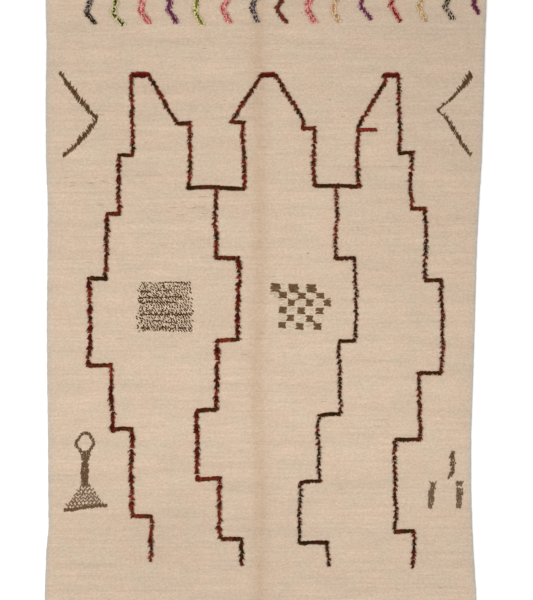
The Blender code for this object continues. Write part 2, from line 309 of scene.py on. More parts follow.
def cream_wool():
    """Weft-faced weave on Object coordinates: short stitches set like bricks, tinted in streaks
    and bands along the wefts, clouded warm and cool, browner in the crease, and grey at the rim
    as painted shade where the cloth rolls down. Its slanting tones are partly the cloth's own
    unevenness and partly painted light falloff, darker towards the right-hand head."""
    wool, tree, shader = new_material("cream_wool")
    place = add_node(tree, "TexCoord", {}).outputs["Object"]
    apart = add_node(tree, "SeparateXYZ", {0: place}).outputs

    stray = patches(tree, place, (35, 60, 35))
    shove = add_node(tree, "CombineXYZ", {"X": stray, "Y": stray}).outputs[0]
    uneven = {0: shove, 1: (0.006, 0.006, 0), 2: place}
    bent = add_node(tree, "VectorMath", uneven, operation="MULTIPLY_ADD").outputs[0]
    bricks = {
        "Vector": bent,
        "Color1": (0.35, 0.35, 0.35, 1),
        "Color2": (0.65, 0.65, 0.65, 1),
        "Mortar": (0.5, 0.5, 0.5, 1),
        "Scale": 1.0,
        "Mortar Size": 0.0011,
        "Mortar Smooth": 1.0,
        "Bias": 0.0,
        "Brick Width": WARP_PITCH,
        "Row Height": WEFT_PITCH,
    }
    stitches = add_node(tree, "TexBrick", bricks, offset=0.5, offset_frequency=2)
    gaps = stitches.outputs["Fac"]
    given = {"Vector": place, "Strength": 0.30}
    fibres = add_node(tree, "Group", given, node_tree=WOOL_FIBRES).outputs

    clouds = smooth_step(tree, patches(tree, place, (11, 13, 11), 3.0), 0.36, 0.64)
    colour = mixed(tree, clouds, CREAM_WARM, CREAM_COOL)
    drift = maths(tree, "MULTIPLY_ADD", patches(tree, place, (0.4, 1.9, 1), 0.0), 0.03, -0.015)
    from_fold = maths(tree, "ADD", maths(tree, "SUBTRACT", apart["X"], FOLD_X), drift)
    crease = maths(tree, "DIVIDE", from_fold, CREASE_REACH)
    crease = maths(tree, "MULTIPLY", maths(tree, "MULTIPLY", crease, crease), -1.0)
    rubbed = swing(tree, patches(tree, place, (60, 9, 9)), 0.5)
    worn = product(tree, maths(tree, "EXPONENT", crease), rubbed)
    colour = mixed(tree, maths(tree, "MULTIPLY", worn, CREASE_SHARE), colour, CREASE_BROWN)
    # Painted shade: the rim made grey where the cloth rolls down to the floor
    edge = add_node(tree, "Attribute", {}, attribute_name="painted_edge_shade").outputs["Fac"]
    colour = mixed(tree, maths(tree, "POWER", edge, 1.6), colour, EDGE_SHADE_GREY)
    slanting = maths(tree, "MULTIPLY_ADD", apart["Y"], 0.25, apart["X"])
    # The slanting tones are partly painted light falloff, darker towards the right-hand head.
    tone = product(
        tree,
        levels_along(tree, apart["Y"], -1.0, 1.04, TONE_ALONG),
        levels_along(tree, slanting, -0.96, 0.99, TONE_ACROSS),
        swing(tree, patches(tree, place, (4, 120, 4)), 0.11),
        swing(tree, patches(tree, place, (1.7, 26, 2)), 0.08),
        swing(tree, patches(tree, place, (120, 150, 120), 4.0), 0.18),
        swing(tree, patches(tree, place, (9, 12, 9)), 0.06),
        swing(tree, stitches.outputs["Color"], 0.22),
        maths(tree, "MULTIPLY_ADD", gaps, -0.14, 1.03),
        fibres["Tone"],
    )
    tree.links.new(toned(tree, colour, tone), shader.inputs["Base Color"])

    height = maths(tree, "SUBTRACT", maths(tree, "MULTIPLY", fibres["Height"], 0.5), gaps)
    bump = add_node(tree, "Bump", {"Height": height, "Distance": 0.0009, "Strength": 0.7})
    tree.links.new(bump.outputs[0], shader.inputs["Normal"])
    rough = maths(tree, "MULTIPLY_ADD", gaps, 0.06, 0.90)
    tree.links.new(rough, shader.inputs["Roughness"])
    shader.inputs["Specular IOR Level"].default_value = 0.15
    shader.inputs["Sheen Weight"].default_value = 0.08
    shader.inputs["Sheen Roughness"].default_value = 0.6
    return wool


ground = weave_cloth("woven_ground", cream_wool())
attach(ground, "root")
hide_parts("rug")


# --------------------------------------
# The stepped lines: the crowned outline and the two lines inside it. They are rows of knots of
# dark brown and dark red wool, tied round the warps as the cloth grew, whose cut ends fall
# towards the rug's foot and splay to both sides.

KNOT_ALONG = 0.0100  # from one knot to the next down the rug
KNOT_ACROSS = 0.0072  # and across it
LOCKS = 9  # cut ends of yarn in a knot
LOCK_LENGTH = 0.0122
LOCK_THICKNESS = 0.0034
KNOT_WIDTH = 0.0090
HEART_THICKNESS = 0.0095  # the tight wool in the middle of a knot
SIDESTEP = 0.0012  # how far every other knot sits to one side
KNOT_HEAD = 0.42  # where a knot's locks start over its middle, as a share of their length
LOCK_LIFT = (0.0066, 0.0092)  # how high over the ground a lock is drawn, at least and at most
LOCK_DROOP = (0.0008, 0.0030)  # and how high its cut end lies
SPLAY = 0.50  # how far the outermost locks turn from straight down the rug, in radians
WANDER = 0.0034  # how far a line strays from where the weaver meant it
DARK_BROWN = (0.044, 0.0205, 0.0028)
DARK_RED = (0.245, 0.0330, 0.0135)
BRIGHT_RED = (0.330, 0.0320, 0.0250)
LINE_WOOLS = np.array((DARK_BROWN, DARK_RED, BRIGHT_RED))
RUBBED = 0.3  # how far a knot's wools take on each other's colour
BAR_RED = 0.9  # marks the crown's three short bars, which are mostly red
LEVEL_RED = 0.6  # how red a step across is, to the fall before it
RINGS = 4  # of points, round a length of yarn
SIDES = 5  # points in a ring

# A stepped line's top, how full its knots are, and its falls: how far down each one goes, what
# share of it is red, and how far the line steps sideways after it
Stair = namedtuple("Stair", "name x y weight falls")
LEFT_OUTER_LINE = (
    (0.282, 0.57, -0.045), (0.202, 0.63, -0.045), (0.226, 0.47, -0.058), (0.299, 0.86, 0.077),
    (0.226, 0.82, 0.070), (0.300, 0.73, 0.066), (0.156, 0.60, 0),
)
LEFT_INNER_LINE = (
    (0.242, 0.44, 0.078), (0.285, 0.86, -0.075), (0.244, 0.69, -0.069), (0.240, 0.88, 0.080),
    (0.209, 0.60, 0.073), (0.090, 0.16, 0),
)
RIGHT_INNER_LINE = (
    (0.249, 0.55, 0.067), (0.289, 0.25, -0.055), (0.256, 0.26, -0.072), (0.234, 0.22, -0.066),
    (0.213, 0.12, 0.098), (0.083, 0.25, 0),
)
RIGHT_OUTER_LINE = (
    (0.276, 0.40, 0.043), (0.195, 0.55, 0.048), (0.245, 0.33, 0.058), (0.324, 0.40, -0.079),
    (0.230, 0.43, -0.084), (0.323, 0.28, 0.066), (0.129, 0.27, 0),
)
STAIRS = (
    Stair("left_outer_line", -0.465, 0.797, 0.88, LEFT_OUTER_LINE),
    Stair("left_inner_line", -0.174, 0.402, 0.90, LEFT_INNER_LINE),
    Stair("right_inner_line", 0.244, 0.409, 0.69, RIGHT_INNER_LINE),
    Stair("right_outer_line", 0.463, 0.800, 0.77, RIGHT_OUTER_LINE),
)

# The crown of three peaks, from the left outer line's top to the right outer line's top: each
# move across and along from the last corner, and its red share
CROWN_WEIGHT = 0.87
CROWN = (
    (0.058, 0, BAR_RED),  # left peak's bar
    (0.102, -0.169, 0.32), (0.041, 0, 0.30), (-0.004, -0.226, 0.50),
    (0.191, 0, 0.20),  # left hollow's foot
    (-0.001, 0.226, 0.56), (-0.042, 0.001, 0.38), (0.103, 0.170, 0.38),
    (0.047, 0, BAR_RED),  # middle peak's bar
    (0.101, -0.162, 0.36), (-0.002, -0.028, 0.42), (0.040, 0, 0.60), (-0.002, -0.200, 0.44),
    (0.155, 0, 0.16),  # right hollow's foot
    (-0.004, 0.209, 0.54), (0.098, 0.155, 0.42), (0, 0.027, 0.50),
    (0.047, 0, BAR_RED),  # right peak's bar
)

# Rows of knots in a line: how far from its middle one is tied, and how full and how light it is
KnotRow = namedtuple("KnotRow", "shift fullness shade")
LINE_ROW = KnotRow((0, 0), 1, 1)
SECOND_ROW = KnotRow((0.0036, 0.0040), 0.7, 1)  # beside it, where the line crosses the rug
BAR_ROW = KnotRow((0, -0.0036), 1.25, 0.33)

Yarns = namedtuple("Yarns", "starts tops ends thickness tips dyes")


def wander(places):
    """Where points meant for these places end up: slow sideways waves and a weaker quick one."""
    x, y = places[..., 0], places[..., 1]
    across = np.sin(19 * y + 6 * x) + 0.5 * np.sin(47 * y - 9 * x + 2)
    along = np.sin(17 * x - 5 * y + 1) + 0.5 * np.sin(41 * x + 8 * y)
    return places + WANDER / 1.5 * np.stack((across, along), axis=-1)


def stair_path(stair):
    """The stepped line's corners from its top down, and the red share of each run."""
    x, y = stair.x, stair.y
    corners, reds = [(x, y)], []
    for drop, red, shift in stair.falls:
        y -= drop
        corners.append((x, y))
        reds.append(red)
        if shift:
            x += shift
            corners.append((x, y))
            reds.append(LEVEL_RED * red)
    return corners, reds


def crown_path(stair):
    """The crown's corners, from the stair's top on, and the red share of each run."""
    corners = [(stair.x, stair.y)]
    for across, along, _ in CROWN:
        corners.append((corners[-1][0] + across, corners[-1][1] + along))
    return corners, [red for *_, red in CROWN]


def walk(corners, pitch_across, pitch_along):
    """Places along a path of straight runs, one pitch apart, which differs across and along the
    rug, and how far each place has come, where whole numbers are the path's corners."""
    corners = np.array(corners, float)
    moves = np.abs(np.diff(corners, axis=0))
    knots = np.hypot(moves[:, 0] / pitch_across, moves[:, 1] / pitch_along)
    reached = np.concatenate(([0], np.cumsum(knots)))
    count = max(2, round(reached[-1]))
    at = (np.arange(count) + 0.5) * reached[-1] / count
    places = np.column_stack([np.interp(at, reached, corners[:, axis]) for axis in (0, 1)])
    return places, np.interp(at, reached, np.arange(len(corners)))


def on_ground(places, lift):
    """Points over these places, lift above the ground."""
    height = ground_height(places[..., 0], places[..., 1]) + lift
    return np.concatenate((places, height[..., None]), axis=-1)


def lay_yarns(name, bundles):
    """All the bundles' lengths of yarn as one mesh. Each length follows (1-t)^2 start +
    2t(1-t) top + t^2 end, with rings of points round it. Its thickness swells from its start
    and comes down to its tip's share by t cubed. Both ends close on a point. The UV map "yarn"
    holds the share of the way round and the metres along, and "dye" holds the yarn's colour."""
    yarns = Yarns(*(np.concatenate(parts) for parts in zip(*bundles)))
    count = len(yarns.starts)
    t = np.linspace(0, 1, RINGS)[None, :, None]
    starts, tops, ends = yarns.starts[:, None], yarns.tops[:, None], yarns.ends[:, None]
    middle = (1 - t) ** 2 * starts + 2 * t * (1 - t) * tops + t**2 * ends
    heading = (1 - t) * (tops - starts) + t * (ends - tops)
    heading /= np.linalg.norm(heading, axis=-1, keepdims=True)
    side = np.cross(heading, (0, 0, 1))
    side /= np.maximum(np.linalg.norm(side, axis=-1, keepdims=True), 1e-9)
    rise = np.cross(side, heading)
    swell = 1 - 0.3 * (1 - t) ** 2 - (1 - yarns.tips[:, None, None]) * t**3
    radius = yarns.thickness[:, None, None] / 2 * swell
    turn = np.arange(SIDES, 0, -1) * 2 * np.pi / SIDES
    ring = np.cos(turn)[:, None] * side[:, :, None] + np.sin(turn)[:, None] * rise[:, :, None]
    rings = (middle[:, :, None] + radius[:, :, None] * ring).reshape(count, -1, 3)
    first = middle[:, 0] - 0.4 * radius[:, 0] * heading[:, 0]
    last = middle[:, -1] + 0.6 * radius[:, -1] * heading[:, -1]
    points = np.concatenate((rings, first[:, None], last[:, None]), axis=1)

    step, around = (grid.ravel() for grid in np.mgrid[0 : RINGS - 1, 0:SIDES])
    beside = (around + 1) % SIDES
    here, ahead = step * SIDES, (step + 1) * SIDES
    wall = np.column_stack((here + around, here + beside, ahead + beside, ahead + around))
    edge, next_edge = around[:SIDES], beside[:SIDES]
    front = np.column_stack((next_edge, edge, 0 * edge + RINGS * SIDES))
    back = np.column_stack((edge, next_edge, 0 * edge + SIDES + 1)) + (RINGS - 1) * SIDES
    shift = np.arange(count)[:, None, None] * points.shape[1]
    quads = (wall + shift).reshape(-1, 4)
    caps = (np.concatenate((front, back)) + shift).reshape(-1, 3)
    piece = make_mesh(name, points.reshape(-1, 3), quads.tolist() + caps.tolist(), SPUN_WOOL)

    length = np.linalg.norm(np.diff(middle, axis=1), axis=-1).sum(axis=1)[:, None, None]
    wall_u = np.column_stack((around, around + 1, around + 1, around)) / SIDES
    wall_v = np.column_stack((step, step, step + 1, step + 1)) / (RINGS - 1)
    wall_uv = np.stack(np.broadcast_arrays(wall_u, wall_v * length), axis=-1)
    cap_uv = np.zeros((count, 2 * SIDES, 3, 2))
    cap_uv[:, SIDES:, :, 1] = length
    uv = np.concatenate((wall_uv.reshape(-1, 2), cap_uv.reshape(-1, 2)))
    piece.data.uv_layers.new(name="yarn").data.foreach_set("uv", uv.astype(np.float32).ravel())
    dyes = np.repeat(yarns.dyes, points.shape[1], axis=0)
    dye = piece.data.attributes.new("dye", "FLOAT_VECTOR", "POINT")
    dye.data.foreach_set("vector", dyes.astype(np.float32).ravel())
    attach(piece, "root")


def shaded(dyes, draw, spread):
    """These dyes, each lightened or darkened at random by a factor of up to 1 + spread."""
    return np.asarray(dyes) * (1 + spread) ** draw.uniform(-1, 1, (len(dyes), 1))


def mix_dyes(draw, wools, shares):
    """A wool's dye drawn for each length of yarn, by the row of shares given for it."""
    limits = np.cumsum(shares, axis=-1)
    picked = (draw.random((len(shares), 1)) > limits[:, :-1]).sum(axis=-1)
    return np.array(wools)[picked]


TWIST = 0.0055  # length of yarn in which its plies go once round


def spun_wool():
    """Dyed hand-spun yarn: its colour from the attribute "dye", with a slanting twist from the
    UV map "yarn" and hairy fibres, in colour and in bump."""
    wool, tree, shader = new_material("spun_wool")
    dye = add_node(tree, "Attribute", {}, attribute_name="dye").outputs["Vector"]
    wound = add_node(tree, "UVMap", {}, uv_map="yarn").outputs[0]
    turn = add_node(tree, "SeparateXYZ", {0: wound}).outputs
    phase = maths(tree, "MULTIPLY_ADD", turn["Y"], 1 / TWIST, turn["X"])
    ply = maths(tree, "ABSOLUTE", maths(tree, "SINE", maths(tree, "MULTIPLY", phase, 2 * np.pi)))
    place = add_node(tree, "TexCoord", {}).outputs["Object"]
    given = {"Vector": place, "Strength": 0.5}
    fibres = add_node(tree, "Group", given, node_tree=WOOL_FIBRES).outputs
    tone = product(tree, maths(tree, "MULTIPLY_ADD", ply, 0.35, 0.72), fibres["Tone"])
    tree.links.new(toned(tree, dye, tone), shader.inputs["Base Color"])
    height = maths(tree, "MULTIPLY_ADD", fibres["Height"], 0.5, ply)
    bump = add_node(tree, "Bump", {"Height": height, "Distance": 0.0005, "Strength": 0.8})
    tree.links.new(bump.outputs[0], shader.inputs["Normal"])
    shader.inputs["Roughness"].default_value = 0.95
    shader.inputs["Specular IOR Level"].default_value = 0.03
    return wool


SPUN_WOOL = spun_wool()


def tie_knots(places, dyes, draw, length=LOCK_LENGTH, width=KNOT_WIDTH, weight=1.0):
    """A knot at each place: locks that leave it over its width, rise, and fall towards the
    rug's foot, turned outwards by up to SPLAY, over two short thick lengths of yarn, its heart.
    Every other knot sits a little to one side. dyes holds each lock's colour, knot by knot,
    and a knot's weight is how thick its yarns are."""
    count = len(places)
    sidestep = SIDESTEP * np.where(np.arange(count) % 2, 1, -1)[:, None]
    outwards = draw.uniform(-1, 1, (count, LOCKS))
    root_x = places[:, :1] + sidestep + outwards * width / 2
    root_y = places[:, 1:] + KNOT_HEAD * length + draw.uniform(-0.0016, 0.0016, (count, LOCKS))
    lean = outwards * SPLAY + draw.normal(0, 0.18, (count, LOCKS))
    reach = length * draw.uniform(0.7, 1.15, (count, LOCKS))
    fall = np.stack((np.sin(lean), -np.cos(lean)), axis=-1) * reach[..., None]
    root = np.stack((root_x, root_y), axis=-1)
    lift = draw.uniform(*LOCK_LIFT, (count, LOCKS))
    droop = draw.uniform(*LOCK_DROOP, (count, LOCKS))
    cut = Yarns(
        on_ground(root, -0.0012).reshape(-1, 3),
        on_ground(root + 0.3 * fall, lift).reshape(-1, 3),
        on_ground(root + fall, droop).reshape(-1, 3),
        LOCK_THICKNESS * weight * draw.uniform(0.8, 1.2, count * LOCKS),
        draw.uniform(0.3, 0.6, count * LOCKS),
        dyes,
    )
    knot = places + np.column_stack((sidestep, draw.uniform(-0.0012, 0.0012, count)))
    blend = 0.8 * np.reshape(dyes, (count, LOCKS, 3)).mean(axis=1)
    hearts = []
    for side in (-1, 1):
        above = knot + (0.18 * side * width, KNOT_HEAD * length)
        below = knot + (0.26 * side * width, -0.45 * length)
        thick = HEART_THICKNESS * weight * draw.uniform(0.68, 0.96, count)
        ends = (on_ground(above, -0.0015), on_ground(knot, 0.0012), on_ground(below, -0.0021))
        hearts.append(Yarns(*ends, thick, np.full(count, 0.6), blend))
    return [cut, *hearts]


def knot_line(name, corners, reds, weight, seed):
    """A line of knots along a path, each lock dark brown, or red by the share of its run, which
    comes and goes in patches. Runs across the rug have a second row of knots, but for the
    crown's bars, whose knots are fuller and deeper in colour."""
    draw = np.random.default_rng(seed)
    places, come = walk(corners, KNOT_ACROSS, KNOT_ALONG)
    run = np.minimum(come.astype(int), len(reds) - 1)
    red = np.array(reds)[run]
    level = (np.abs(np.diff(np.array(corners)[:, 1]))[run] < 0.002) & (red < BAR_RED)
    patchy = red * (1 + small_waves(places[:, 0], places[:, 1], 6, 90, 140, seed))
    patchy = patchy + draw.normal(0, 0.08, len(red))
    red = np.where(red < BAR_RED, np.clip(patchy, 0, 1), red)[:, None]
    bar = red[:, 0] >= BAR_RED
    shares = np.hstack((1 - red, 0.80 * red, 0.20 * red))
    length, width = np.array((LOCK_LENGTH, KNOT_WIDTH)) * (0.6 + 0.4 * weight)
    bundles = []
    for picked, row in ((~bar, LINE_ROW), (level, SECOND_ROW), (bar, BAR_ROW)):
        given = np.repeat(shares[picked], LOCKS, axis=0)
        dyes = (1 - RUBBED) * mix_dyes(draw, LINE_WOOLS, given) + RUBBED * given @ LINE_WOOLS
        depth = row.shade * (1.08 - 0.30 * given[:, :1])  # darker where there is more brown
        dyes = shaded(depth * dyes, draw, 0.45)
        knots = wander(places[picked] + row.shift) + draw.normal(0, 0.0007, (picked.sum(), 2))
        sizes = {"length": row.fullness * length, "width": width, "weight": row.fullness * weight}
        bundles += tie_knots(knots, dyes, draw, **sizes)
    lay_yarns(name, bundles)


for seed, stair in enumerate(STAIRS, 20):
    knot_line(stair.name, *stair_path(stair), stair.weight, seed)
knot_line("crown_line", *crown_path(STAIRS[0]), CROWN_WEIGHT, 30)


def red_dyes(draw, count, shares):
    """Every lock's dye for this many knots of the line's wools, by their shares."""
    shares = np.tile(shares, (LOCKS * count, 1))
    return shaded(mix_dyes(draw, LINE_WOOLS, shares), draw, 0.3)


def peak_edges():
    """Loose bright red knots along the upper edge of each of the crown's three short bars."""
    draw = np.random.default_rng(31)
    corners, reds = crown_path(STAIRS[0])
    bundles = []
    for start, end, red in zip(corners, corners[1:], reds):
        if red < BAR_RED:
            continue
        places, _ = walk((start, end), KNOT_ACROSS, KNOT_ALONG)
        dyes = red_dyes(draw, len(places), (0, 0.3, 0.7))
        edge = places + (0, 0.0036) + draw.normal(0, 0.0010, places.shape)
        bundles += tie_knots(wander(edge), dyes, draw, length=0.0050, weight=0.7)
    lay_yarns("peak_edges", bundles)


peak_edges()


# --------------------------------------
# The two arrowheads beside the crown and the short dash: the arrowheads overcast in natural dark
# brown wool in nearly upright stitches, whose ends make both sides of an arm ragged, and the dash
# knotted, mostly in the two reds.

NUT_BROWN = (0.118, 0.058, 0.019)

# A stitch's arch over the ground, its yarn's thickness, its ends' share of that, and how deep
# its ends are tucked in
Stitch = namedtuple("Stitch", "rise thickness tips sink", defaults=(0.0009,))
ARROW_STITCH = Stitch(0.0028, 0.0050, 0.4)

# The corners of an arrowhead's middle line: x, y and its width there
LEFT_ARROW = (
    (-0.716, 0.807, 0.010), (-0.694, 0.776, 0.017), (-0.655, 0.724, 0.018), (-0.614, 0.671, 0.015),
    (-0.587, 0.645, 0.010), (-0.611, 0.612, 0.018), (-0.638, 0.578, 0.016), (-0.680, 0.533, 0.014),
    (-0.706, 0.515, 0.014),
)
RIGHT_ARROW = (
    (0.713, 0.800, 0.020), (0.695, 0.772, 0.022), (0.678, 0.747, 0.012), (0.662, 0.725, 0.012),
    (0.640, 0.703, 0.012), (0.620, 0.690, 0.005), (0.596, 0.671, 0.007), (0.616, 0.654, 0.006),
    (0.640, 0.622, 0.012), (0.662, 0.588, 0.014), (0.684, 0.552, 0.012), (0.708, 0.515, 0.012),
)
DASH = ((0.318, 0.607), (0.376, 0.607))


def lay_stitches(starts, ends, stitch, dye, draw):
    """Stitches from start to end, with both ends tucked into the ground, in slightly uneven
    shades, arches and thicknesses."""
    count = len(starts)
    tops = on_ground((starts + ends) / 2, 2 * stitch.rise * draw.uniform(0.8, 1.15, count))
    thick = stitch.thickness * draw.uniform(0.85, 1.15, count)
    dyes = shaded(np.broadcast_to(dye, (count, 3)), draw, 0.22)
    lifted = on_ground(starts, -stitch.sink), tops, on_ground(ends, -stitch.sink)
    return Yarns(*lifted, thick, np.full(count, stitch.tips), dyes)


def upright(middle, slant, half, stitch, dye, draw):
    """Stitches through these middles, turned from upright by slant radians, clockwise, which
    reach half their length to each side."""
    reach = np.column_stack((np.sin(slant), np.cos(slant))) * half[:, None]
    return lay_stitches(middle - reach, middle + reach, stitch, dye, draw)


def overcast(spots, stitch, dye, draw, pitch, lean, tooth=0.0):
    """Stitches side by side along an arm, across it but drawn towards upright by the lean, and
    as long as the arm's width asks, more or less. Some go on past its upper side by a tooth."""
    spots = np.array(spots)
    steps = np.hypot(*np.diff(spots[:, :2], axis=0).T)
    reached = np.concatenate(([0], np.cumsum(steps)))
    count = round(reached[-1] / pitch)
    at = (np.arange(count) + 0.5) * reached[-1] / count
    x, y, width = (np.interp(at, reached, column) for column in spots.T)
    run = np.clip(np.searchsorted(reached, at) - 1, 0, len(steps) - 1)
    ahead = (np.diff(spots[:, :2], axis=0) / steps[:, None])[run]
    upper = np.column_stack((-ahead[:, 1], ahead[:, 0]))
    upper *= np.where(upper[:, 1:] < 0, -1, 1)
    slope = upper + (0, lean)
    slope /= np.linalg.norm(slope, axis=1, keepdims=True)
    half = 0.44 * width / np.maximum((slope * upper).sum(axis=1), 0.6)
    middle = wander(np.column_stack((x, y))) + draw.normal(0, 0.0006, (count, 2))
    starts = middle - slope * (half * draw.uniform(0.7, 1.4, count))[:, None]
    beyond = tooth * draw.uniform(-0.6, 1, count).clip(0)
    ends = middle + slope * (half * draw.uniform(0.7, 1.3, count) + beyond)[:, None]
    return lay_stitches(starts, ends, stitch, dye, draw)


draw = np.random.default_rng(40)
for name, arrow in (("left_arrow", LEFT_ARROW), ("right_arrow", RIGHT_ARROW)):
    arms = overcast(arrow, ARROW_STITCH, NUT_BROWN, draw, pitch=0.0052, lean=1.2, tooth=0.0115)
    lay_yarns(name, [arms])
dash, _ = walk(DASH, KNOT_ACROSS, KNOT_ALONG)
dyes = red_dyes(draw, len(dash), (0.2, 0.45, 0.35))
lay_yarns("dash", tie_knots(wander(dash), dyes, draw))


# --------------------------------------
# The tally marks and the brooch, low on the rug: grey-brown wool wrapped round the warps in
# rows, so every row is a line of short upright stitches. The brooch is a diamond ring on a
# stem, and its foot is an open three-cornered lattice on a bar.

GREY_BROWN = (0.160, 0.090, 0.046)
FADED_BROWN = (0.205, 0.126, 0.072)
WRAP_ROW = 0.0088  # height of a row of wrapped stitches
WRAP_PITCH = 0.0038  # from one stitch to the next in a row
WRAP_STITCH = Stitch(0.0028, 0.0044, 0.4)
FORK_STITCH = Stitch(0.0028, 0.0052, 0.35)
RING_STITCH = Stitch(0.0028, 0.0058, 0.4)
BAR_STITCH = Stitch(0.0028, 0.0054, 0.4)

# A tally mark's top, how far its stitches lean, in radians, and its rows: the middle of each one
# and its width
Tally = namedtuple("Tally", "name top lean rows")
TALLY_LEFT = (
    (0.581, 0.010), (0.583, 0.016), (0.583, 0.020), (0.577, 0.021), (0.575, 0.018), (0.574, 0.018),
    (0.574, 0.020), (0.572, 0.020), (0.571, 0.018), (0.568, 0.014),
)
TALLY_MIDDLE = (
    (0.650, 0.012), (0.647, 0.015), (0.646, 0.018), (0.648, 0.013), (0.649, 0.020), (0.648, 0.019),
    (0.650, 0.013), (0.650, 0.017), (0.647, 0.017), (0.643, 0.012), (0.638, 0.008),
)
TALLY_RIGHT_CAP = ((0.677, 0.023), (0.674, 0.020))
TALLY_RIGHT = (
    (0.675, 0.024), (0.674, 0.024), (0.674, 0.023), (0.672, 0.021), (0.671, 0.019), (0.671, 0.019),
    (0.670, 0.020), (0.669, 0.019),
)
TALLIES = (
    Tally("tally_left", -0.627, 0.06, TALLY_LEFT),
    Tally("tally_middle", -0.517, 0.14, TALLY_MIDDLE),
    Tally("tally_right_cap", -0.619, 0.35, TALLY_RIGHT_CAP),
    Tally("tally_right", -0.643, 0.02, TALLY_RIGHT),
)
# The two prongs on the left mark: from x, y to x, y
FORK = ((0.580, -0.634, 0.568, -0.614), (0.583, -0.634, 0.594, -0.613))

# The brooch: its stem's rows, as above, and the corners of its ring's and its bar's middle lines
STEM_TOP = -0.513
STEM_ROWS = (
    (-0.626, 0.034), (-0.626, 0.033), (-0.626, 0.030), (-0.626, 0.027), (-0.626, 0.018),
    (-0.627, 0.025), (-0.627, 0.027), (-0.627, 0.028), (-0.627, 0.030), (-0.628, 0.024),
    (-0.628, 0.025), (-0.629, 0.022), (-0.629, 0.023), (-0.629, 0.021),
)
BROOCH_RING = (
    (-0.640, -0.510, 0.012), (-0.652, -0.496, 0.012), (-0.661, -0.483, 0.014),
    (-0.652, -0.469, 0.010), (-0.640, -0.453, 0.011), (-0.629, -0.446, 0.013),
    (-0.616, -0.449, 0.011), (-0.605, -0.464, 0.013), (-0.595, -0.480, 0.011),
    (-0.605, -0.496, 0.012), (-0.614, -0.509, 0.012),
)
BROOCH_BAR = ((-0.705, -0.713, 0.012), (-0.630, -0.707, 0.012), (-0.553, -0.702, 0.012))
FOOT_X = -0.629
FOOT_TOP = -0.634
FOOT_ROW = 0.0128
FOOT_HALVES = (0.017, 0.026, 0.035, 0.043, 0.052, 0.062)  # half of each row of the lattice
FOOT_PITCH = 0.0062
FOOT_STITCH = Stitch(0.0022, 0.0046, 0.6)


def wrapped_rows(top, rows, lean, dye, draw):
    """Rows of upright stitches, each row as wide as told. Neighbouring rows lean by turns one
    way and the other round the given lean, in radians."""
    bundles = []
    for number, (x, width) in enumerate(rows):
        count = max(2, round(width / WRAP_PITCH))
        across = x + (np.arange(count) - (count - 1) / 2) * width / count
        across = across + draw.normal(0, 0.0009, count)
        y = top - WRAP_ROW * number + draw.normal(0, 0.0008, count)
        middle = wander(np.column_stack((across, y)))
        slant = lean + 0.16 * (-1) ** number + draw.normal(0, 0.12, count)
        half = 0.60 * WRAP_ROW * draw.uniform(0.6, 1.4, count)
        bundles.append(upright(middle, slant, half, WRAP_STITCH, dye, draw))
    return bundles


def lattice(draw):
    """The brooch's foot: rows of stitches that lean by turns left and right, each row wider
    than the last, as a triangle's sides fall."""
    bundles = []
    for number, half_width in enumerate(FOOT_HALVES):
        count = 2 * round(half_width / FOOT_PITCH)
        across = FOOT_X - 0.0006 * number + np.linspace(-half_width, half_width, count)
        y = FOOT_TOP - FOOT_ROW * number + draw.normal(0, 0.0012, count)
        slant = 0.55 * (-1) ** (np.arange(count) + number) + draw.normal(0, 0.25, count)
        half = 0.60 * FOOT_ROW * draw.uniform(0.75, 1.15, count)
        middle = wander(np.column_stack((across, y)))
        bundles.append(upright(middle, slant, half, FOOT_STITCH, FADED_BROWN, draw))
    return bundles


for number, tally in enumerate(TALLIES):
    draw = np.random.default_rng(50 + number)
    dye = GREY_BROWN if tally.name == "tally_middle" else FADED_BROWN
    bundles = wrapped_rows(tally.top, tally.rows, tally.lean, dye, draw)
    if tally.name == "tally_left":
        start, tip = np.hsplit(np.array(FORK), 2)
        bundles.append(lay_stitches(start, tip, FORK_STITCH, FADED_BROWN, draw))
    lay_yarns(tally.name, bundles)

draw = np.random.default_rng(60)
bundles = wrapped_rows(STEM_TOP, STEM_ROWS, 0.0, GREY_BROWN, draw) + lattice(draw)
bundles.append(overcast(BROOCH_RING, RING_STITCH, GREY_BROWN, draw, pitch=0.0056, lean=0.9))
bar = overcast(BROOCH_BAR, BAR_STITCH, GREY_BROWN, draw, pitch=0.0042, lean=0.5, tooth=0.003)
lay_yarns("brooch", [*bundles, bar])


# --------------------------------------
# The hatched square: rows of short brown and cream stitches laid by turns, nearly all slanting
# one way, with heavier brown lines across it and one loose dark thread along its top.

HATCH_LEFT = -0.442
HATCH_WIDTH = 0.180
HATCH_SPREAD = 0.018  # how much wider its foot is than its head
HATCH_TOP = 0.0765
HATCH_ROWS = 20
HATCH_ROW = 0.0087
HATCH_PITCH = 0.0092
HATCH_LEAN = -0.74  # radians from upright
OUT_OF_LINE = 0.35  # share of the rows that slip out of the slants
CONTRARY = 0.18  # share of the stitches that slant the other way
HATCH_BROWN = (0.088, 0.039, 0.009)
HATCH_CREAM = (0.78, 0.62, 0.46)
BROWN_STITCH = Stitch(0.0017, 0.0048, 0.5)
CREAM_STITCH = Stitch(0.0017, 0.0042, 0.5)
SEAM_STITCH = Stitch(0.0032, 0.0044, 0.5)
SEAM_PITCH = 0.0085
THREAD_STITCH = Stitch(0.0030, 0.0036, 0.8)
THREAD_LEFT = -0.370
THREAD_RIGHT = -0.272
THREAD_Y = 0.0725

Seam = namedtuple("Seam", "y start end fullness")  # start and end as shares of the width
SEAMS = (
    Seam(0.0430, 0.02, 0.24, 2.4),
    Seam(0.0455, 0.36, 0.64, 1.4),
    Seam(0.0215, 0.00, 0.84, 1.7),
    Seam(0.0045, 0.02, 0.74, 1.8),
    Seam(-0.0245, 0.04, 0.70, 0.7),
    Seam(-0.0380, 0.03, 0.99, 1.6),
    Seam(-0.0620, 0.02, 0.95, 0.5),
    Seam(-0.0850, 0.02, 0.98, 1.3),
)


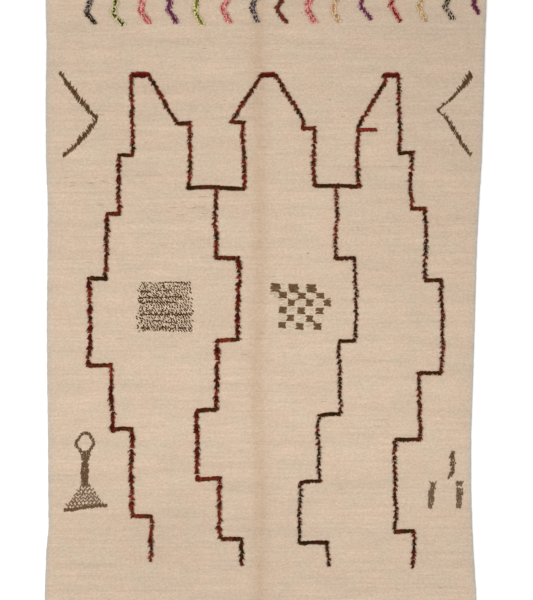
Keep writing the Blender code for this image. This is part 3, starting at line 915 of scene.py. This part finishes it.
def hatch_rows(draw):
    """Short rows of slanting stitches, brown and cream by turns. Most rows are set on by the
    stitches' slant, so they line up as long slants, but less and less well to the left."""
    bundles = []
    for number in range(HATCH_ROWS):
        share = number / HATCH_ROWS
        left = HATCH_LEFT - HATCH_SPREAD * share / 2 + draw.normal(0, 0.0024)
        width = HATCH_WIDTH + HATCH_SPREAD * share + draw.normal(0, 0.0024)
        steps = np.arange(2 * round(width / HATCH_PITCH))
        slip = draw.uniform(0, HATCH_PITCH) if draw.random() < OUT_OF_LINE else 0
        set_on = (number * HATCH_ROW * np.tan(-HATCH_LEAN) + slip) % HATCH_PITCH
        across = (steps + 0.5) * HATCH_PITCH / 2 + set_on
        inside = across < width
        across, brown = across[inside], (steps % 2 == 0)[inside]
        loose = 0.0008 + 0.0018 * (1 - across / width)
        across = left + across + loose * draw.normal(0, 1, len(across))
        y = HATCH_TOP - HATCH_ROW * (number + 0.5) + draw.normal(0, 0.0012, len(across))
        middle = wander(np.column_stack((across, y)))
        slant = HATCH_LEAN * np.where(draw.random(len(across)) < CONTRARY, -0.7, 1)
        slant = slant + draw.normal(0, 0.10, len(across))
        half = HATCH_ROW * draw.uniform(0.44, 0.62, len(across))
        kinds = (brown, BROWN_STITCH, HATCH_BROWN), (~brown, CREAM_STITCH, HATCH_CREAM)
        for picked, stitch, dye in kinds:
            given = middle[picked], slant[picked], half[picked]
            bundles.append(upright(*given, stitch, dye, draw))
    return bundles


def hatch_seams(draw):
    """Flat brown stitches that lie over the hatching in wandering lines across it."""
    bundles = []
    for seam in SEAMS:
        count = round(seam.fullness * (seam.end - seam.start) * HATCH_WIDTH / SEAM_PITCH)
        even = seam.start + (seam.end - seam.start) * (np.arange(count) + 0.5) / count
        x = HATCH_LEFT + HATCH_WIDTH * even + draw.normal(0, 0.0025, count)
        middle = np.column_stack((x, seam.y + draw.normal(0, 0.0018, count)))
        reach = np.column_stack((draw.uniform(0.002, 0.005, count), draw.normal(0, 0.0032, count)))
        ends = wander(middle - reach), wander(middle + reach)
        bundles.append(lay_stitches(*ends, SEAM_STITCH, HATCH_BROWN, draw))
    return bundles


draw = np.random.default_rng(70)
bundles = hatch_rows(draw) + hatch_seams(draw)
thread_x = np.linspace(THREAD_LEFT, THREAD_RIGHT, 10)
thread_y = THREAD_Y + 0.003 * np.sin((thread_x - THREAD_LEFT) * 32)
thread = np.column_stack((thread_x, thread_y))
thread_ends = thread[:-1], thread[1:] + (0.002, 0)
bundles.append(lay_stitches(*thread_ends, THREAD_STITCH, HATCH_BROWN, draw))
lay_yarns("hatched_square", bundles)


# --------------------------------------
# The chequered sign: six rows of small brown squares with squares of a paler, cooler cream wool
# between them. Each square is a few lines of stitches. In all rows but the first these are
# longest at its top and foot, so its corners stand out.

PALE = (0.635, 0.528, 0.395)
CHECK_BROWN = (0.162, 0.091, 0.041)
CHECK_LINE = 0.0034  # from one line of a square's stitches to the next
CHECK_YARN = 0.005  # what the yarn's own thickness adds to a square's height
CHECK_OVERLAP = 0.003  # how far past a square's middle each half of a line begins
CHECK_STITCH = Stitch(0.0026, 0.0060, 0.6)
PALE_STITCH = Stitch(0.0004, 0.0046, 0.6)
TAIL_STITCH = Stitch(0.0026, 0.0044, 0.4)

# A row's middle, its first brown square, their pitch and number, its first pale one and their
# number, a square's width and height, and its width at the waist as a share of that
CheckRow = namedtuple("CheckRow", "y x pitch count pale_x pales wide tall waist")
CHECK_ROWS = (
    CheckRow(0.054, 0.032, 0.0620, 3, 0.064, 2, 0.032, 0.027, 1.14),
    CheckRow(0.029, 0.057, 0.0645, 3, 0.025, 3, 0.029, 0.020, 0.88),
    CheckRow(0.003, 0.086, 0.0625, 3, 0.056, 3, 0.028, 0.021, 0.78),
    CheckRow(-0.023, 0.058, 0.0635, 3, 0.089, 2, 0.029, 0.020, 0.85),
    CheckRow(-0.049, 0.087, 0.0660, 2, 0.056, 3, 0.028, 0.023, 0.75),
    CheckRow(-0.076, 0.059, 0.0605, 3, 0.089, 2, 0.028, 0.020, 0.85),
)
TAILS = (  # strands carried from one square to the next: from and to
    (0.206, 0.012, 0.226, 0.021),
    (0.100, 0.013, 0.118, 0.019),
    (0.078, 0.020, 0.086, 0.010),
    (0.142, 0.018, 0.152, 0.010),
    (0.166, -0.058, 0.174, -0.072),
    (0.166, -0.086, 0.196, -0.090),
)


def squares(places, row, stitch, dye, draw):
    """Stitches for a square at each place: each of its lines is a left and a right half, the
    top ones tilted up outwards and the bottom ones down, and the row's waist is their length
    halfway."""
    share = np.linspace(1, -1, round(row.tall / CHECK_LINE))
    x, y = np.array(places)[:, None], row.y + share * (row.tall - CHECK_YARN) / 2
    y = y + draw.normal(0, 0.0007, (len(places), len(share)))
    reach = row.wide / 2 * (row.waist + (1 - row.waist) * share**2)
    bundles = []
    for side in (-1, 1):
        inner = np.stack((x - side * CHECK_OVERLAP + 0 * y, y), axis=-1).reshape(-1, 2)
        tilt = 0.0016 * share + draw.normal(0, 0.0012, y.shape)
        beyond = side * reach * draw.uniform(0.82, 1.12, y.shape)
        outer = np.stack((x + beyond, y + tilt), axis=-1).reshape(-1, 2)
        bundles.append(lay_stitches(wander(inner), wander(outer), stitch, dye, draw))
    return bundles


draw = np.random.default_rng(80)
bundles = []
for row in CHECK_ROWS:
    browns = row.x + row.pitch * np.arange(row.count)
    bundles += squares(browns, row, CHECK_STITCH, CHECK_BROWN, draw)
    pales = row.pale_x + row.pitch * np.arange(row.pales)
    bundles += squares(pales, row, PALE_STITCH, PALE, draw)
tails = np.array(TAILS)
bundles.append(lay_stitches(tails[:, :2], tails[:, 2:], TAIL_STITCH, CHECK_BROWN, draw))
lay_yarns("chequered_sign", bundles)


# --------------------------------------
# The row of small chevrons at the rug's head. Each is knotted in two leftover dyed wools, mixed,
# with one or two broken lines of short, mostly darker stitches over them.

CHEVRON_RISE = 0.052  # how far an upper arm reaches above its corner
CHEVRON_KNOTS = 0.0084  # from one knot to the next
CHEVRON_LENGTH = 0.0100  # of its knots' locks
BROKEN_PITCH = 0.0074  # from one stitch of a broken line to the next
BROKEN_HALF = 0.0044  # half such a stitch's length
MISSING = 0.2  # share of its stitches that are worn away
BROKEN_STITCH = Stitch(0.0048, 0.0062, 0.6, -0.0012)
LEFTOVERS = {
    "black": (0.048, 0.028, 0.008),
    "slate": (0.450, 0.385, 0.375),
    "straw": (0.720, 0.660, 0.370),
    "lime": (0.720, 0.660, 0.300),
    "olive_black": (0.046, 0.034, 0.001),
    "olive": (0.170, 0.140, 0.020),
    "salmon": (0.930, 0.500, 0.430),
    "coral": (0.780, 0.290, 0.255),
    "rose": (0.480, 0.080, 0.085),
    "plum": (0.190, 0.036, 0.082),
    "mauve": (0.620, 0.350, 0.430),
    "dark_plum": (0.116, 0.024, 0.042),
    "stone": (0.560, 0.450, 0.350),
    "ink": (0.052, 0.038, 0.048),
    "maroon": (0.135, 0.035, 0.018),
    "red": (0.330, 0.034, 0.028),
    "crimson": (0.180, 0.018, 0.014),
    "apricot": (0.850, 0.610, 0.400),
    "rust": (0.480, 0.250, 0.120),
    "sand": (0.790, 0.620, 0.370),
    "ochre": (0.500, 0.320, 0.140),
    "umber": (0.046, 0.024, 0.005),
}

# Its corner, how far its arms' ends lie right of it and the lower one's end below it, its main
# and second wool and the second's share of the upper and the lower arm, its width, and the wool
# and number of its broken lines
Chevron = namedtuple("Chevron", "x y up down fall main second upper lower width dash dashes")
CHEVRONS = (
    Chevron(-0.623, 1.017, 0.019, 0.028, 0.042, "slate", "black", 0.15, 0.65, 0.0130, "black", 2),
    Chevron(-0.529, 1.007, 0.011, 0.031, 0.038, "straw", "lime", 0.4, 0.4, 0.0165, "olive_black", 1),
    Chevron(-0.433, 1.017, 0.013, 0.028, 0.043, "salmon", "coral", 0.3, 0.4, 0.0185, "rose", 2),
    Chevron(-0.338, 1.021, 0.014, 0.032, 0.047, "plum", "mauve", 0.3, 0.25, 0.0155, "dark_plum", 1),
    Chevron(-0.246, 1.019, 0.011, 0.031, 0.051, "straw", "lime", 0.5, 0.3, 0.0160, "olive", 1),
    Chevron(-0.152, 1.027, 0.028, 0.029, 0.052, "salmon", "coral", 0.4, 0.3, 0.0175, "rose", 2),
    Chevron(-0.050, 1.030, 0.018, 0.022, 0.053, "stone", "ink", 0.35, 0.25, 0.0130, "ink", 2),
    Chevron(0.035, 1.027, 0.030, 0.037, 0.048, "maroon", "red", 0.3, 0.45, 0.0120, "maroon", 1),
    Chevron(0.140, 1.030, 0.025, 0.029, 0.052, "salmon", "coral", 0.5, 0.3, 0.0175, "rose", 2),
    Chevron(0.231, 1.021, 0.019, 0.019, 0.041, "apricot", "sand", 0.2, 0.6, 0.0110, "rust", 1),
    Chevron(0.327, 1.032, 0.017, 0.036, 0.044, "plum", "mauve", 0.5, 0.5, 0.0110, "dark_plum", 1),
    Chevron(0.434, 1.036, 0.023, 0.033, 0.055, "coral", "red", 0.3, 0.2, 0.0150, "crimson", 1),
    Chevron(0.532, 1.034, 0.023, 0.023, 0.048, "sand", "apricot", 0.4, 0.5, 0.0120, "ochre", 1),
    Chevron(0.623, 1.032, 0.027, 0.030, 0.044, "stone", "umber", 0.25, 0.3, 0.0140, "umber", 2),
    Chevron(0.722, 1.038, 0.016, 0.022, 0.033, "plum", "mauve", 0.3, 0.2, 0.0115, "dark_plum", 1),
)


def chevron_places(chevron, pitch):
    """Places along a chevron from the end of its upper arm to the end of its lower one, and
    how far each has come, where 1 is the corner."""
    corner = np.array((chevron.x, chevron.y))
    ends = corner + (chevron.up, CHEVRON_RISE), corner, corner + (chevron.down, -chevron.fall)
    places, come = walk(ends, pitch, pitch)
    return wander(places), come


def broken_line(places, dye, fullness, draw):
    """Short stitches along these places that lean by turns left and right, of which about one
    in five is missing."""
    places = places[draw.random(len(places)) > MISSING]
    slant = 0.5 * (-1) ** np.arange(len(places)) + draw.normal(0, 0.3, len(places))
    half = BROKEN_HALF * fullness * draw.uniform(0.7, 1.3, len(places))
    stitch = BROKEN_STITCH._replace(thickness=BROKEN_STITCH.thickness * fullness)
    return upright(places, slant, half, stitch, dye, draw)


def knotted_chevron(chevron, draw):
    """Knots of the main wool with locks of the second, and over them one bold broken line
    along the middle or a finer one along each side."""
    places, come = chevron_places(chevron, CHEVRON_KNOTS)
    second = np.where(come < 1, chevron.upper, chevron.lower)
    second = np.repeat(second, LOCKS)[:, None]
    wools = LEFTOVERS[chevron.main], LEFTOVERS[chevron.second]
    dyes = shaded(mix_dyes(draw, wools, np.hstack((1 - second, second))), draw, 0.2)
    bundles = tie_knots(places, dyes, draw, CHEVRON_LENGTH, chevron.width)
    line, _ = chevron_places(chevron, BROKEN_PITCH)
    sides = (0,) if chevron.dashes == 1 else (-0.35, 0.35)
    for side in sides:
        path = line + (side * chevron.width, 0) + draw.normal(0, 0.0009, line.shape)
        fullness = 1.25 / len(sides) ** 0.4
        bundles.append(broken_line(path, LEFTOVERS[chevron.dash], fullness, draw))
    return bundles


draw = np.random.default_rng(90)
bundles = []
for chevron in CHEVRONS:
    bundles += knotted_chevron(chevron, draw)
lay_yarns("chevron_row", bundles)


# --------------------------------------
# Odd wefts and burrs: here and there a weft of darker hand-spun wool shows for a few
# centimetres, and a few dark burrs from the fleece are caught in the weave.

# A patch of odd wefts: its sides, and how many there are in it
Streaks = namedtuple("Streaks", "left right low high count")
ODD_WEFTS = (
    Streaks(-0.731, -0.525, 0.397, 0.440, 12),
    Streaks(-0.351, -0.212, 0.310, 0.397, 12),
    Streaks(-0.700, 0.700, -1.200, 1.200, 60),
)
ODD_WEFT = (0.44, 0.31, 0.20)
WEFT_STITCH = Stitch(0.0006, 0.0013, 0.4, 0.0004)
# The burrs: x, y and length
BURRS = ((0.146, 0.177, 0.008), (0.223, 0.710, 0.006), (0.125, 1.013, 0.006), (0.706, 0.908, 0.006))
BURR_BROWN = (0.16, 0.10, 0.06)
BURR_STITCH = Stitch(0.001, 0.0022, 0.4, 0.0003)


def odd_wefts(draw):
    """Thin stitches along the wefts, scattered over each patch."""
    bundles = []
    for patch in ODD_WEFTS:
        x = draw.uniform(patch.left, patch.right, patch.count)
        y = draw.uniform(patch.low, patch.high, patch.count)
        half = draw.uniform(0.006, 0.016, patch.count)
        middle = np.column_stack((x, y))
        reach = np.column_stack((half, draw.normal(0, 0.0005, patch.count)))
        ends = middle - reach, middle + reach
        bundles.append(lay_stitches(*ends, WEFT_STITCH, ODD_WEFT, draw))
    return bundles


draw = np.random.default_rng(100)
bundles = odd_wefts(draw)
burrs = np.array(BURRS)
reach = np.column_stack((burrs[:, 2] / 2, 0.25 * burrs[:, 2]))
burr_ends = burrs[:, :2] - reach, burrs[:, :2] + reach
bundles.append(lay_stitches(*burr_ends, BURR_STITCH, BURR_BROWN, draw))
lay_yarns("odd_wefts", bundles)


# --------------------------------------
# The floor, the light and the camera: a plain pale floor, two broad soft lamps beside the rug
# under an even sky, and a long lens straight above it.

SEEN_TALL = 2.088  # what the picture's long side covers on the rug
SEEN_MIDDLE = (0.002, 0.014)  # the place on the rug in the picture's middle
LENS = 85  # millimetres, as is the film's width
FILM = 36


def pale_floor():
    """A broad flat floor of plain near-white paint."""
    paint, _, shader = new_material("pale_floor")
    shader.inputs["Base Color"].default_value = (0.93, 0.93, 0.93, 1)
    shader.inputs["Roughness"].default_value = 0.85
    shader.inputs["Specular IOR Level"].default_value = 0.2
    reach = 12
    corners = [(-reach, -reach, 0), (reach, -reach, 0), (reach, reach, 0), (-reach, reach, 0)]
    return make_mesh("floor", corners, [(0, 1, 2, 3)], paint)


def soft_lamp(name, place, power, size):
    """A square lamp of this size at this place, turned to the rug's middle."""
    data = bpy.data.lights.new(name, "AREA")
    data.energy = power
    data.size = size
    lamp = bpy.data.objects.new(name, data)
    lamp.location = place
    lamp.rotation_euler = lamp.location.to_track_quat("Z", "Y").to_euler()
    bpy.context.scene.collection.objects.link(lamp)


pale_floor()
soft_lamp("key_lamp", (-3.2, -1.0, 3.6), power=120, size=2.5)
soft_lamp("fill_lamp", (3.4, -1.2, 4.2), power=118, size=3.5)
sky = bpy.data.worlds.new("even_sky")
sky.use_nodes = True
sky.node_tree.nodes["Background"].inputs["Color"].default_value = (1, 1, 1, 1)
sky.node_tree.nodes["Background"].inputs["Strength"].default_value = 0.62
bpy.context.scene.world = sky
bpy.context.scene.view_settings.view_transform = "Standard"

camera_data = bpy.data.cameras.new("overhead_camera")
camera_data.lens = LENS
camera_data.sensor_width = FILM
camera = bpy.data.objects.new("overhead_camera", camera_data)
camera.location = (*SEEN_MIDDLE, SEEN_TALL * LENS / FILM)
bpy.context.scene.collection.objects.link(camera)
bpy.context.scene.camera = camera
